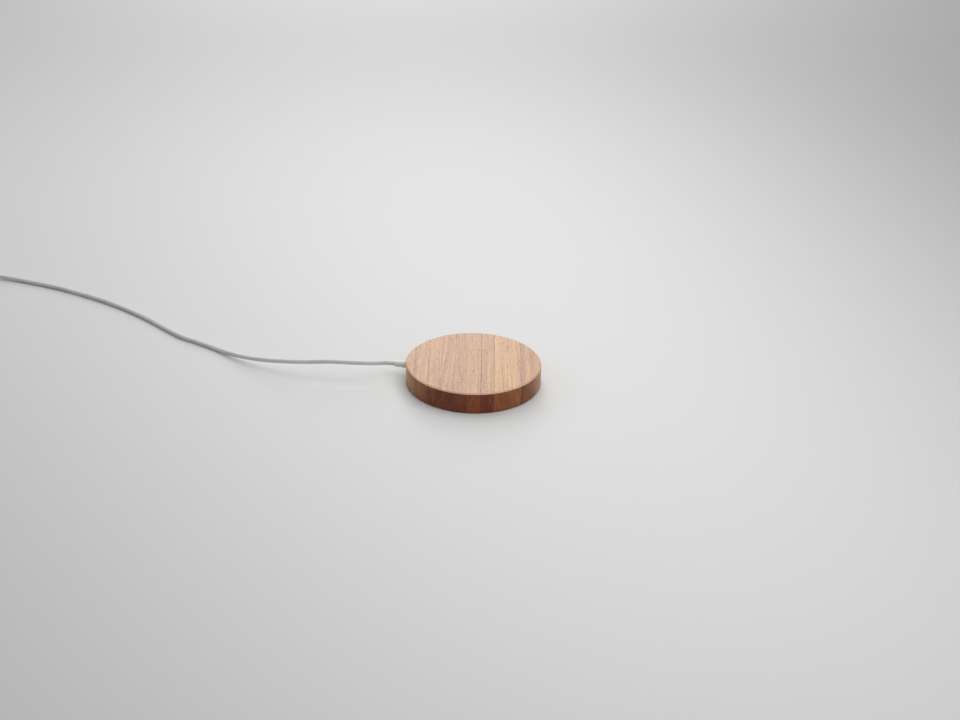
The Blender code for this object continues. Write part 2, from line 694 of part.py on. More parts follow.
def make_plug():
    """The plug, in its own frame: local +X is the way that it is pushed in."""
    frame = add_empty("plug_frame", PLUG_PLACE, (0, 0, -math.pi / 2))
    length = PLUG_BODY[0]
    body = rounded_box_mesh("plug_body", PLUG_BODY, PLUG_BODY_ROUNDING, 3)
    add_object("plug_body", body, pale_jacket(), (length / 2, 0, 0), parent=frame)

    start = -GAP
    far = start - PLUG_RELIEF_LENGTH
    relief = turned_mesh(
        "plug_strain_relief",
        (
            (0, far),
            (PLUG_RELIEF_NARROW, far),
            (PLUG_RELIEF_WIDE, start),
            (0, start),
        ),
        20,
    )
    add_object("plug_strain_relief", relief, pale_jacket(), turn=(0, math.pi / 2, 0), parent=frame)
    make_plug_shell(frame, length + GAP)
    make_plug_tongue(frame, length + GAP)


def make_plug_shell(frame, start):
    """The folded steel shell: a flat tube with two latch windows above and two below."""
    length, width, height = SHELL_SIZE
    middle = (start + length / 2, 0, 0)
    shell = add_object(
        "plug_shell", rounded_box_mesh("plug_shell", SHELL_SIZE, 0.3 * MM, 2), steel(), middle, parent=frame
    )
    hollow = (2 * length, width - 2 * SHELL_WALL, height - 2 * SHELL_WALL)
    cutters = [add_cutter("shell_hollow", rounded_box_mesh("shell_hollow", hollow), middle)]
    window = rounded_box_mesh("shell_window", (*SHELL_WINDOW, 2 * height))
    for side in (-1, 1):
        place = (start + length - SHELL_WINDOW_X, side * SHELL_WINDOW_Y, 0)
        cutters.append(add_cutter(f"shell_window_{2 + side}", window, place))
    for cutter in cutters:
        cutter.parent = frame
        boolean(shell, cutter)


def make_plug_tongue(frame, start):
    """The insulator inside the shell: a full block at the back and a tongue that bears the contacts."""
    inside_width = SHELL_SIZE[1] - 2 * SHELL_WALL - 2 * GAP
    half = SHELL_SIZE[2] / 2 - SHELL_WALL - GAP
    tongue_top = -half + TONGUE_THICKNESS
    block = start + TONGUE_BLOCK_LENGTH
    sections = (
        (start, inside_width, -half, half),
        (block, inside_width, -half, half),
        (block, inside_width, -half, tongue_top),
        (start + TONGUE_LENGTH, inside_width, -half, tongue_top),
    )
    insulator = material("white_insulator", (0.7, 0.7, 0.68), 0.5)
    add_object("plug_tongue", lofted_box_mesh("plug_tongue", sections), insulator, parent=frame)
    gold = material("gold_plating", (0.75, 0.5, 0.18), 0.25, 1.0)
    strip = rounded_box_mesh("plug_contact", CONTACT_SIZE)
    x = block + GAP + CONTACT_SIZE[0] / 2
    z = tongue_top + GAP + CONTACT_SIZE[2] / 2
    for number, y in enumerate(CONTACT_OFFSETS, 1):
        add_object(f"plug_contact_{number}", strip, None, (x, y, z), parent=frame)
    strip.materials.append(gold)


def main():
    clear_scene()
    make_case()
    make_cover()
    make_feet()
    make_screws()
    make_coil()
    make_coil_leads()
    make_stack()
    make_board_parts()
    make_status_light()
    make_gland()
    make_inner_wires()
    make_cord()
    make_plug()


main()
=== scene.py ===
"""The looks of the round wooden charging pad, its captive lead and the lead's plug.

Everything is in metres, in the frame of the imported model: the pad stands on z = 0 at the origin and
the lead leaves it along -X.
"""

import math

import bmesh
import bpy
from mathutils import Matrix, Vector


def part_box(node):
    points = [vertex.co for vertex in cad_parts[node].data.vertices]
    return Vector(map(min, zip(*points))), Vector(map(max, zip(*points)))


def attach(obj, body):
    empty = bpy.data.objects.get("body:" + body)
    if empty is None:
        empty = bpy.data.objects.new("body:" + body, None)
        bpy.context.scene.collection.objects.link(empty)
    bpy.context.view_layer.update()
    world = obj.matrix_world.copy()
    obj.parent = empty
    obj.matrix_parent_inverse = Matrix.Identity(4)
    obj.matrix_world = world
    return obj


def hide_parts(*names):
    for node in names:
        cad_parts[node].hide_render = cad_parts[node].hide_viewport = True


MM = 0.001

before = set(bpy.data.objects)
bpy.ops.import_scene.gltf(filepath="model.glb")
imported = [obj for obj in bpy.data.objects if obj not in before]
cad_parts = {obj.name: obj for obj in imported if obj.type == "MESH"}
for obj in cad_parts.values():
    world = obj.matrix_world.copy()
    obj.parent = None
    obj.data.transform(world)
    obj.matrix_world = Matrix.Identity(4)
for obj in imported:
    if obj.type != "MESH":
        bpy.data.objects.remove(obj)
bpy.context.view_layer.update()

# Camera, as a view from the front, a little to the right and above
CAMERA_PLACE = (0.1139, -0.6309, 0.3359)
CAMERA_TURN = 10.0
CAMERA_TILT = 63.07
CAMERA_ROLL = 1.37
CAMERA_LENS = 64.52

# Wood: strips glued side by side, whose fibres run close to Y
GRAIN_TURN = -10.0
STRIP_WIDTH_MM = 5.5
STRIP_OFFSET_MM = 2.3
STRIP_SHIFT_MM = 37.0  # how far apart in the tree two neighbouring strips were
STRIP_TILT = 0.9
STRIP_LEAN = 0.08
WANDER_MM = 1.6

# Wood outside this radius and above this height is the top's rim, painted paler: a painted highlight where
# the rim catches the light, with some wear
RIM_SHEEN_AND_WEAR_RADIUS_MM = 27.8
RIM_SHEEN_AND_WEAR_HEIGHT_MM = 8.62
RIM_SHEEN_AND_WEAR_BLEND_MM = 0.15

# Lead: the route is the CAD model's own
CORD_RADIUS = 0.9 * MM
DEPTH_IN_GLAND = 1.6 * MM
DEPTH_IN_PLUG = 0.8 * MM
RUN_STEP = 3 * MM
TAIL_STEP = 1.5 * MM
RUN_ROUTE = (
    (-0.0347, 0.0000, 0.0047),
    (-0.0359, -0.0004, 0.0048),
    (-0.0376, -0.0020, 0.0055),
    (-0.0420, -0.0057, 0.0067),
    (-0.0500, -0.0085, 0.0074),
    (-0.0600, -0.0092, 0.0071),
    (-0.0700, -0.0104, 0.0064),
    (-0.0800, -0.0097, 0.0052),
    (-0.0900, -0.0077, 0.0038),
    (-0.1000, -0.0039, 0.0023),
    (-0.1075, -0.0002, 0.0014),
    (-0.1155, 0.0040, 0.00095),
    (-0.1240, 0.0077, 0.00095),
    (-0.1325, 0.0111, 0.00095),
    (-0.1415, 0.0169, 0.00095),
    (-0.1515, 0.0238, 0.00095),
    (-0.1630, 0.0306, 0.00095),
    (-0.1770, 0.0374, 0.00095),
    (-0.1930, 0.0434, 0.00095),
    (-0.2090, 0.0479, 0.00095),
    (-0.2250, 0.0508, 0.00095),
    (-0.2350, 0.0516, 0.00135),
    (-0.2453, 0.0517, 0.0017),
)
TAIL_ROUTE = (
    (-0.2652, 0.0318, 0.0072),
    (-0.2650, 0.0285, 0.0068),
    (-0.2642, 0.0252, 0.0056),
    (-0.2629, 0.0223, 0.0044),
    (-0.2621, 0.0206, 0.0039),
    (-0.2620, 0.0193, 0.0038),
)
COIL_OUTER_TURN = 12.2 * MM
COIL_PITCH = 1.85 * MM
COIL_ROWS = 4
COIL_COLUMNS = 3
COIL_FIRST_HEIGHT = 1.75 * MM
COIL_STEP_DEGREES = 40
COIL_POINT_DEGREES = 9
COIL_TURNS = 11.25


def polar(radius, angle, height):
    return Vector((radius * math.cos(angle), radius * math.sin(angle), height))


def add_object(name, data):
    made = bpy.data.objects.new(name, data)
    bpy.context.scene.collection.objects.link(made)
    return made


# ---- Camera


def add_camera():
    data = bpy.data.cameras.new("camera")
    data.lens = CAMERA_LENS
    data.sensor_width = 36.0
    data.clip_start, data.clip_end = 0.01, 20.0
    camera = add_object("camera", data)
    matrix = Matrix.Translation(CAMERA_PLACE)
    for degrees, axis in ((CAMERA_TURN, "Z"), (CAMERA_TILT, "X"), (CAMERA_ROLL, "Z")):
        matrix = matrix @ Matrix.Rotation(math.radians(degrees), 4, axis)
    camera.matrix_world = matrix
    bpy.context.scene.camera = camera


# ---- Cord


def smooth_route(route, step):
    """Points about step apart along the Catmull-Rom curve through the route's own points."""
    held = [Vector(point) for point in route]
    held = [2 * held[0] - held[1]] + held + [2 * held[-1] - held[-2]]
    points = []
    for a, b, c, d in zip(held, held[1:], held[2:], held[3:]):
        linear = c - a
        square = 2 * a - 5 * b + 4 * c - d
        cubic = 3 * b - 3 * c + d - a
        count = max(2, round((c - b).length / step))
        for k in range(count):
            t = k / count
            points.append(b + 0.5 * (linear * t + square * t**2 + cubic * t**3))
    return points + [held[-2]]


def smooth_step(t):
    t = min(1.0, max(0.0, t))
    return t * t * (3 - 2 * t)


def coil_turns(centre):
    """The wound part of the lead: rows of turns on each other, the first wound inwards, the next
    outwards. Each change of turn or row comes a little sooner than the last, so none meets another."""
    radii = [COIL_OUTER_TURN - column * COIL_PITCH for column in range(COIL_COLUMNS)]
    slots = []
    for row in range(COIL_ROWS):
        height = COIL_FIRST_HEIGHT + row * COIL_PITCH
        for radius in radii if row % 2 == 0 else radii[::-1]:
            slots.append((radius, height))
    ends = []
    for number in range(1, len(slots)):
        row, column = divmod(number, COIL_COLUMNS)
        changes = 2 * row - (1 if column == 0 else 0)
        ends.append(360 * number - COIL_STEP_DEGREES * changes)
    points = []
    for place in range(round(360 * COIL_TURNS / COIL_POINT_DEGREES) + 1):
        degrees = place * COIL_POINT_DEGREES
        radius, height = slots[0]
        for end, before, after in zip(ends, slots, slots[1:]):
            share = smooth_step((degrees - end + COIL_STEP_DEGREES) / COIL_STEP_DEGREES)
            radius += share * (after[0] - before[0])
            height += share * (after[1] - before[1])
        points.append(centre + polar(radius, math.radians(90 + degrees), height))
    return points


def round_curve(name, points, radius, resolution):
    curve = bpy.data.curves.new(name, "CURVE")
    curve.dimensions = "3D"
    curve.bevel_depth = radius
    curve.bevel_resolution = resolution
    curve.use_fill_caps = True
    line = curve.splines.new("POLY")
    line.points.add(len(points) - 1)
    for place, point in zip(line.points, points):
        place.co = (*point, 1.0)
    line.use_smooth = True
    return add_object(name, curve)


def add_cord():
    """The lead in one curve: out of the gland, along its route, round its coil and into the plug."""
    inside_gland = Vector((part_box("cable_gland")[0].x + DEPTH_IN_GLAND, 0, RUN_ROUTE[0][2]))
    inside_plug = Vector(TAIL_ROUTE[-1]) - Vector((0, DEPTH_IN_PLUG, 0))
    points = [inside_gland]
    points += smooth_route(RUN_ROUTE, RUN_STEP)
    points += coil_turns(on_table(middle("cable_coil")))
    points += smooth_route(TAIL_ROUTE, TAIL_STEP)
    points.append(inside_plug)
    return round_curve("lead_cord", points, CORD_RADIUS, 5)


# ---- Materials


class Finish:
    """A material on a Principled shader, with short calls for the nodes that feed it."""

    def __init__(self, name, **fixed):
        self.material = bpy.data.materials.new(name)
        self.material.use_nodes = True
        self.nodes = self.material.node_tree.nodes
        self.links = self.material.node_tree.links
        self.shader = self.nodes["Principled BSDF"]
        for socket, value in fixed.items():
            self.shader.inputs[socket.replace("_", " ").title().replace("Ior", "IOR")].default_value = value
        self.coords = self.add("ShaderNodeTexCoord")

    def add(self, kind, **settings):
        node = self.nodes.new(kind)
        for key, value in settings.items():
            setattr(node, key, value)
        return node

    def feed(self, socket, value):
        """Links an output to the socket, or sets the socket to a number or colour."""
        if isinstance(value, bpy.types.NodeSocket):
            self.links.new(value, socket)
        else:
            socket.default_value = value

    def place(self, turn=0.0):
        """Object coordinates in millimetres, turned about Z by some degrees."""
        node = self.add("ShaderNodeMapping")
        self.feed(node.inputs["Vector"], self.coords.outputs["Object"])
        node.inputs["Scale"].default_value = (1 / MM, 1 / MM, 1 / MM)
        node.inputs["Rotation"].default_value = (0, 0, math.radians(turn))
        return node.outputs["Vector"]

    def math(self, operation, a, b=0.0):
        node = self.add("ShaderNodeMath", operation=operation)
        self.feed(node.inputs[0], a)
        self.feed(node.inputs[1], b)
        return node.outputs[0]

    def plus(self, *values):
        total = values[0]
        for value in values[1:]:
            total = self.math("ADD", total, value)
        return total

    def times(self, a, b):
        return self.math("MULTIPLY", a, b)

    def split(self, vector):
        node = self.add("ShaderNodeSeparateXYZ")
        self.feed(node.inputs[0], vector)
        return node.outputs[0], node.outputs[1], node.outputs[2]

    def join(self, x, y, z):
        node = self.add("ShaderNodeCombineXYZ")
        for socket, value in zip(node.inputs, (x, y, z)):
            self.feed(socket, value)
        return node.outputs[0]

    def noise(self, vector, scale, detail, roughness=0.5):
        node = self.add("ShaderNodeTexNoise")
        self.feed(node.inputs["Vector"], vector)
        node.inputs["Scale"].default_value = scale
        node.inputs["Detail"].default_value = detail
        node.inputs["Roughness"].default_value = roughness
        return node.outputs[0]

    def cells(self, vector, scale, feature="F1", distance="EUCLIDEAN"):
        """How far the nearest cell's centre is, or with F2 the next one's, in cells."""
        node = self.add("ShaderNodeTexVoronoi", feature=feature, distance=distance)
        self.feed(node.inputs["Vector"], vector)
        node.inputs["Scale"].default_value = scale
        return node.outputs["Distance"]

    def chance(self, value):
        """Three random numbers from a number, as a colour."""
        node = self.add("ShaderNodeTexWhiteNoise", noise_dimensions="1D")
        self.feed(node.inputs["W"], value)
        return node.outputs["Color"]

    def span(self, value, low, high, to_low=0.0, to_high=1.0):
        """The value's stretch from low to high, mapped to another stretch and clamped."""
        node = self.add("ShaderNodeMapRange", clamp=True)
        self.feed(node.inputs["Value"], value)
        node.inputs["From Min"].default_value = low
        node.inputs["From Max"].default_value = high
        node.inputs["To Min"].default_value = to_low
        node.inputs["To Max"].default_value = to_high
        return node.outputs[0]

    def stretch(self, noise, to_low=0.0, to_high=1.0):
        """Most of a noise's values, mapped to another stretch."""
        return self.span(noise, 0.3, 0.7, to_low, to_high)

    def ramp(self, value, stops):
        node = self.add("ShaderNodeValToRGB")
        self.feed(node.inputs[0], value)
        held = node.color_ramp.elements
        while len(held) < len(stops):
            held.new(0.5)
        for element, (position, colour) in zip(held, stops):
            element.position = position
            element.color = colour
        return node.outputs[0]

    def mix(self, share, a, b, blend="MIX"):
        """Two colours mixed by a share."""
        node = self.add("ShaderNodeMix", data_type="RGBA", blend_type=blend)
        self.feed(node.inputs[0], share)
        self.feed(node.inputs[6], a)
        self.feed(node.inputs[7], b)
        return node.outputs[2]

    def colour(self, value):
        self.feed(self.shader.inputs["Base Color"], value)

    def roughness(self, value):
        self.feed(self.shader.inputs["Roughness"], value)

    def bump(self, height, depth_mm):
        node = self.add("ShaderNodeBump")
        self.feed(node.inputs["Height"], height)
        node.inputs["Distance"].default_value = depth_mm * MM
        node.inputs["Strength"].default_value = 1.0
        self.feed(self.shader.inputs["Normal"], node.outputs[0])


def linear_light(value):
    """One screen value from 0 to 255 as linear light."""
    share = value / 255
    return ((share + 0.055) / 1.055) ** 2.4 if share > 0.04 else share / 12.92


def rgb(red, green, blue):
    """An opaque linear colour from screen values."""
    return (linear_light(red), linear_light(green), linear_light(blue), 1.0)


def wood_finish():
    """Oiled wood, glued up from strips. Each strip has its own tone, tilt of growth lines and fibres."""
    made = Finish("oiled_wood", specular_ior_level=0.4)
    across, along, up = made.split(made.place(GRAIN_TURN))
    place = made.math("DIVIDE", made.plus(across, STRIP_OFFSET_MM), STRIP_WIDTH_MM)
    strip = made.math("FLOOR", place)
    tone, tilt, lean = made.split(made.chance(strip))
    tilted = made.times(up, made.times(made.plus(tilt, -0.5), STRIP_TILT))
    leaned = made.times(along, made.times(made.plus(lean, -0.5), STRIP_LEAN))
    sideways = made.plus(across, made.times(strip, STRIP_SHIFT_MM), tilted, leaned)
    drift = made.join(made.times(sideways, 0.1), made.times(along, 0.05), made.times(up, 0.4))
    sideways = made.plus(sideways, made.times(made.noise(drift, 1.0, 2.0), WANDER_MM))

    def stretched(side, length, height):
        """A place in the grain, scaled by how often a noise changes each way, per millimetre."""
        return made.join(made.times(sideways, side), made.times(along, length), made.times(up, height))

    growth = made.noise(stretched(1.3, 0.016, 0.16), 1.0, 4.0, 0.62)
    fibres = made.noise(stretched(3.4, 0.06, 0.9), 1.0, 4.0, 0.66)
    pores = made.noise(stretched(7.5, 0.30, 4.5), 1.0, 1.0, 0.4)
    pores = made.span(pores, 0.6, 0.72)
    end_grain = made.math("ABSOLUTE", made.split(turned_normal(made))[1])
    end_grain = made.span(end_grain, 0.1, 0.9)
    tone_share = made.span(end_grain, 0.0, 1.0, 0.06, 0.22)
    grain = made.plus(made.times(growth, 0.45), made.times(fibres, 0.55))
    grain = made.plus(grain, made.times(made.plus(tone, -0.5), tone_share))
    tones = (
        (0.30, rgb(118, 66, 36)),
        (0.43, rgb(162, 105, 55)),
        (0.53, rgb(191, 138, 78)),
        (0.66, rgb(217, 168, 106)),
    )
    colour = made.mix(made.times(pores, 0.5), made.ramp(grain, tones), rgb(96, 50, 28))
    joint = made.span(made.math("PINGPONG", place, 0.5), 0.004, 0.012, 1.0, 0.0)
    colour = made.mix(made.times(joint, 0.4), colour, rgb(80, 42, 24))
    # End grain is darker and redder than side grain; this multiply is also painted shade, made deeper to
    # darken the walls that face along the grain, the front one among them
    end_grain_and_shade_tint = made.mix(lean, rgb(192, 106, 69), rgb(184, 116, 68))
    colour = made.mix(made.times(end_grain, 0.88), colour, end_grain_and_shade_tint, "MULTIPLY")
    # Paler colour painted on the top's outer rim: a painted highlight where the rim catches the light, with
    # some wear
    x, y, z = made.split(made.place())
    radius = made.math("SQRT", made.plus(made.times(x, x), made.times(y, y)))
    outside = made.span(radius, RIM_SHEEN_AND_WEAR_RADIUS_MM, RIM_SHEEN_AND_WEAR_RADIUS_MM + RIM_SHEEN_AND_WEAR_BLEND_MM)
    above = made.span(z, RIM_SHEEN_AND_WEAR_HEIGHT_MM, RIM_SHEEN_AND_WEAR_HEIGHT_MM + RIM_SHEEN_AND_WEAR_BLEND_MM)
    rim_sheen_and_wear = made.times(made.math("MINIMUM", outside, above), made.stretch(fibres, 0.6, 0.9))
    made.colour(made.mix(rim_sheen_and_wear, colour, rgb(250, 210, 168)))
    made.roughness(made.stretch(fibres, 0.30, 0.44))
    relief = made.math("SUBTRACT", made.times(fibres, 0.6), made.times(pores, 0.7))
    made.bump(made.math("SUBTRACT", relief, made.times(joint, 0.8)), 0.03)
    return made.material


def turned_normal(made):
    """The surface's own normal, turned into the grain's frame."""
    node = made.add("ShaderNodeVectorRotate", rotation_type="Z_AXIS")
    made.feed(node.inputs["Vector"], made.coords.outputs["Normal"])
    node.inputs["Angle"].default_value = math.radians(GRAIN_TURN)
    return node.outputs[0]


def moulded_finish(name, light, dark, roughness, grain_mm, depth_mm):
    """Moulded plastic or rubber: a faint cloud of tone, a fine even texture and a slightly uneven gloss."""
    made = Finish(name)
    place = made.place()
    cloud = made.noise(place, 0.35, 3.0)
    texture = made.noise(place, 1 / grain_mm, 2.0, 0.6)
    made.colour(made.mix(made.stretch(cloud), dark, light))
    made.roughness(made.stretch(texture, roughness - 0.06, roughness + 0.08))
    made.bump(texture, depth_mm)
    return made.material


def jacket_finish():
    """The lead's soft jacket: satin, with a faint cloud of tone and a slightly uneven skin."""
    made = Finish("soft_jacket", specular_ior_level=0.45)
    place = made.place()
    cloud = made.noise(place, 0.12, 3.0)
    skin = made.noise(place, 5.0, 3.0, 0.6)
    made.colour(made.mix(made.stretch(cloud), rgb(200, 200, 200), rgb(214, 214, 213)))
    made.roughness(made.stretch(skin, 0.38, 0.52))
    made.bump(skin, 0.008)
    return made.material


def metal_finish(name, light, dark, roughness, lines, depth_mm=0.002):
    """Plated or drawn metal, with a little tarnish. Lines are how often its fine marks change along X,
    Y and Z, per millimetre."""
    made = Finish(name, metallic=1.0)
    place = made.place()
    x, y, z = made.split(place)
    lined = made.join(made.times(x, lines[0]), made.times(y, lines[1]), made.times(z, lines[2]))
    brushed = made.noise(lined, 1.0, 3.0, 0.6)
    cloud = made.noise(place, 0.5, 3.0)
    made.colour(made.mix(made.span(cloud, 0.35, 0.7), light, dark))
    made.roughness(made.stretch(brushed, roughness - 0.07, roughness + 0.1))
    made.bump(brushed, depth_mm)
    return made.material


def board_finish():
    """Green solder mask over copper, whose edges run square or at 45 degrees, with tinned vias."""
    made = Finish("solder_mask", specular_ior_level=0.6)
    place = made.place()
    nearest = made.cells(place, 0.42, "F1", "CHEBYCHEV")
    next_one = made.cells(place, 0.42, "F2", "CHEBYCHEV")
    copper = made.span(made.math("SUBTRACT", next_one, nearest), 0.10, 0.13)
    x, y, _ = made.split(place)
    vias = made.cells(made.join(x, y, 0.0), 0.36)
    vias = made.span(vias, 0.07, 0.085, 1.0, 0.0)
    weave = made.noise(place, 6.0, 2.0)
    mask = made.mix(copper, rgb(22, 74, 44), rgb(34, 102, 60))
    made.colour(made.mix(vias, mask, rgb(196, 192, 178)))
    made.roughness(made.stretch(weave, 0.28, 0.42))
    made.bump(made.plus(copper, made.times(weave, 0.2)), 0.03)
    return made.material


def chip_finish():
    """Moulded epoxy: dark, with a fine speckle."""
    made = Finish("chip_epoxy")
    place = made.place()
    speckle = made.noise(place, 9.0, 3.0, 0.7)
    made.colour(made.ramp(speckle, ((0.35, rgb(22, 22, 24)), (0.7, rgb(40, 40, 43)))))
    made.roughness(made.stretch(speckle, 0.42, 0.62))
    made.bump(speckle, 0.01)
    return made.material


def ceramic_finish(name, light, dark):
    """Fired ceramic, finely grained."""
    made = Finish(name)
    grain = made.noise(made.place(), 8.0, 2.0)
    made.colour(made.mix(made.stretch(grain), dark, light))
    made.roughness(made.stretch(grain, 0.35, 0.55))
    made.bump(grain, 0.006)
    return made.material


def ferrite_finish():
    """Pressed and fired powder: dark grey, with a speckle."""
    made = Finish("sintered_ferrite")
    place = made.place()
    speckle = made.noise(place, 7.0, 4.0, 0.7)
    made.colour(made.ramp(speckle, ((0.3, rgb(46, 47, 50)), (0.7, rgb(78, 79, 82)))))
    made.roughness(made.stretch(speckle, 0.5, 0.7))
    made.bump(speckle, 0.02)
    return made.material


def woven_finish(name, light, dark, pitch_mm):
    """A woven sleeve or strap: crossed threads."""
    made = Finish(name)
    place = made.place()
    waves = []
    for turn in (45, -45):
        node = made.add("ShaderNodeTexWave", wave_type="BANDS", bands_direction="X")
        mapping = made.add("ShaderNodeMapping")
        made.feed(mapping.inputs["Vector"], place)
        mapping.inputs["Rotation"].default_value = (0, math.radians(turn), math.radians(turn))
        made.feed(node.inputs["Vector"], mapping.outputs[0])
        node.inputs["Scale"].default_value = 0.314 / pitch_mm
        waves.append(node.outputs["Fac"])
    weave = made.times(*waves)
    made.colour(made.mix(weave, dark, light))
    made.roughness(made.span(weave, 0.0, 1.0, 0.75, 0.6))
    made.bump(weave, 0.05)
    return made.material


# ---- Mesh helpers


def finished_mesh(bm, name, smooth_degrees=35):
    bmesh.ops.recalc_face_normals(bm, faces=bm.faces)
    mesh = bpy.data.meshes.new(name)
    bm.to_mesh(mesh)
    bm.free()
    mesh.shade_smooth()
    mesh.set_sharp_from_angle(angle=math.radians(smooth_degrees))
    return mesh


def bridge(bm, first, second):
    """Faces between two rings of as many points each."""
    count = len(first)
    for i in range(count):
        j = (i + 1) % count
        bm.faces.new((first[i], first[j], second[j], second[i]))


def loft(name, rings, closed=False, smooth_degrees=35):
    """A mesh through rings of points: capped at both ends or, if closed, joined into a hoop."""
    bm = bmesh.new()
    made = [[bm.verts.new(point) for point in ring] for ring in rings]
    for first, second in zip(made, made[1:]):
        bridge(bm, first, second)
    if closed:
        bridge(bm, made[-1], made[0])
    else:
        bm.faces.new(made[0])
        bm.faces.new(made[-1])
    return finished_mesh(bm, name, smooth_degrees)


def ring(radius, height, segments):
    """Points round a circle about the Z axis."""
    return [polar(radius, 2 * math.pi * i / segments, height) for i in range(segments)]


def turned(name, outline, segments):
    """An (r, z) outline turned about Z, with a flat face across each of its ends."""
    return loft(name, [ring(radius, height, segments) for radius, height in outline])


def arc(centre, radius, start, end, count):
    """Points along an arc in a plane, from one angle in degrees to another."""
    steps = [math.radians(start + (end - start) * k / count) for k in range(count + 1)]
    return [(centre[0] + radius * math.cos(a), centre[1] + radius * math.sin(a)) for a in steps]


def rounded_rectangle(width, height, corner, steps):
    """Points round a rectangle in the Y Z plane, at x = 0."""
    points = []
    for sign_y, sign_z, start in ((1, 1, 0), (-1, 1, 90), (-1, -1, 180), (1, -1, 270)):
        centre = (sign_y * (width / 2 - corner), sign_z * (height / 2 - corner))
        points += [Vector((0, y, z)) for y, z in arc(centre, corner, start, start + 90, steps)]
    return points


def bar(name, profile, start, end):
    """A straight bar along X, with the profile's (y, z) points at both ends."""
    return loft(name, [[Vector((x, y, z)) for y, z in profile] for x in (start, end)])


def rectangle(half_width, bottom, top):
    return ((-half_width, bottom), (half_width, bottom), (half_width, top), (-half_width, top))


def add_piece(name, mesh, finish, nodes, matrix=None):
    """Adds a visible piece that stands for the CAD nodes."""
    made = add_object(name, mesh)
    if matrix:
        made.matrix_world = matrix
    mesh.materials.append(finish)
    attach(made, "root")
    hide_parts(*nodes)
    return made


def cutter(mesh, matrix):
    """A tool for carve, which removes it again."""
    made = add_object("cutter", mesh)
    made.matrix_world = matrix
    return made


def carve(piece, tools, operation="DIFFERENCE", smooth_degrees=35):
    """Cuts the tools from the piece's mesh, or joins them to it, and removes them."""
    for tool in tools:
        modifier = piece.modifiers.new("carve", "BOOLEAN")
        modifier.operation = operation
        modifier.solver = "EXACT"
        modifier.object = tool
    graph = bpy.context.evaluated_depsgraph_get()
    mesh = bpy.data.meshes.new_from_object(piece.evaluated_get(graph))
    piece.modifiers.clear()
    piece.data = mesh
    mesh.shade_smooth()
    mesh.set_sharp_from_angle(angle=math.radians(smooth_degrees))
    for tool in tools:
        bpy.data.objects.remove(tool)


def middle(node):
    low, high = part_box(node)
    return (low + high) / 2


def size(node):
    low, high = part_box(node)
    return high - low


def on_table(point):
    return Vector((point.x, point.y, 0))


def shift(x, y, z=0):
    return Matrix.Translation((x, y, z))


def facing(direction):
    """The turn that takes +Z to the direction, in the table's plane."""
    angle = math.atan2(direction[1], direction[0])
    return Matrix.Rotation(angle, 4, "Z") @ Matrix.Rotation(math.pi / 2, 4, "Y")


# ---- The case

CASE_SIDES = 288
RIM_CHAMFER = 0.45 * MM
RIM_EASING = 0.14 * MM
FOOT_OF_WALL_ROUNDING = 0.35 * MM
HOLD = 0.08 * MM  # a ring this close to a rounding keeps the flat face beside it flat in shading
POCKET_RADIUS = 25.0 * MM
TOP_SKIN = 1.5 * MM
EAR_RADIUS = 2.4 * MM
PILOT_RADIUS = 0.75 * MM
PILOT_DEPTH = 4.3 * MM
HOLE_CHAMFER = 0.25 * MM
GLAND_HOLE_RADIUS = 1.42 * MM
LIGHT_HOLE_RADIUS = 0.8 * MM
COVER_GAP = 0.12 * MM


def hole_tool(radius, depth, chamfer):
    """A round cutter along Z from inside the wall, opening out by the chamfer at z = 0."""
    wide = radius + 2 * chamfer
    outline = ((radius, -depth), (radius, -chamfer), (wide, chamfer), (wide, depth))
    return turned("hole", outline, 40)


def add_case(screws):
    low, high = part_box("wood_case")
    radius = high.x
    cover_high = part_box("base_cover")[1]
    seat = cover_high.x + COVER_GAP
    ledge = cover_high.z + 0.1 * MM
    ceiling = high.z - TOP_SKIN
    rim, ease, toe = RIM_CHAMFER, RIM_EASING, FOOT_OF_WALL_ROUNDING
    half_turn = math.tan(math.radians(22.5)) * ease  # from the chamfer's corner to its easing's start
    outline = [(radius - rim - half_turn - HOLD, high.z)]
    outline += arc((radius - rim - half_turn, high.z - ease), ease, 90, 45, 3)
    outline += arc((radius - ease, high.z - rim - half_turn), ease, 45, 0, 3)
    outline += [(radius, high.z - rim - half_turn - HOLD), (radius, low.z + toe + HOLD)]
    outline += arc((radius - toe, low.z + toe), toe, 0, -90, 5)
    outline += [(radius - toe - HOLD, low.z), (seat, low.z), (seat, ledge)]
    outline += [(POCKET_RADIUS, ledge), (POCKET_RADIUS, ceiling)]
    mesh = turned("wooden_puck", outline, CASE_SIDES)
    case = add_piece("wooden_puck", mesh, wood_finish(), ["wood_case"])
    ear = turned("ear", ((EAR_RADIUS, ledge + 0.3 * MM), (EAR_RADIUS, ceiling + 0.5 * MM)), 40)
    carve(case, [cutter(ear, shift(x, y)) for x, y in screws], "UNION")
    pilot = turned("pilot", ((PILOT_RADIUS, ledge - MM), (PILOT_RADIUS, ledge + PILOT_DEPTH)), 24)
    tools = [cutter(pilot, shift(x, y)) for x, y in screws]
    wall = radius - POCKET_RADIUS + 0.5 * MM
    gland, light = middle("cable_gland"), middle("light_pipe")
    for centre, hole in ((gland, GLAND_HOLE_RADIUS), (light, LIGHT_HOLE_RADIUS)):
        out = on_table(centre).normalized()
        place = out * radius + Vector((0, 0, centre.z))
        tools.append(cutter(hole_tool(hole, wall, HOLE_CHAMFER), Matrix.Translation(place) @ facing(out)))
    carve(case, tools)


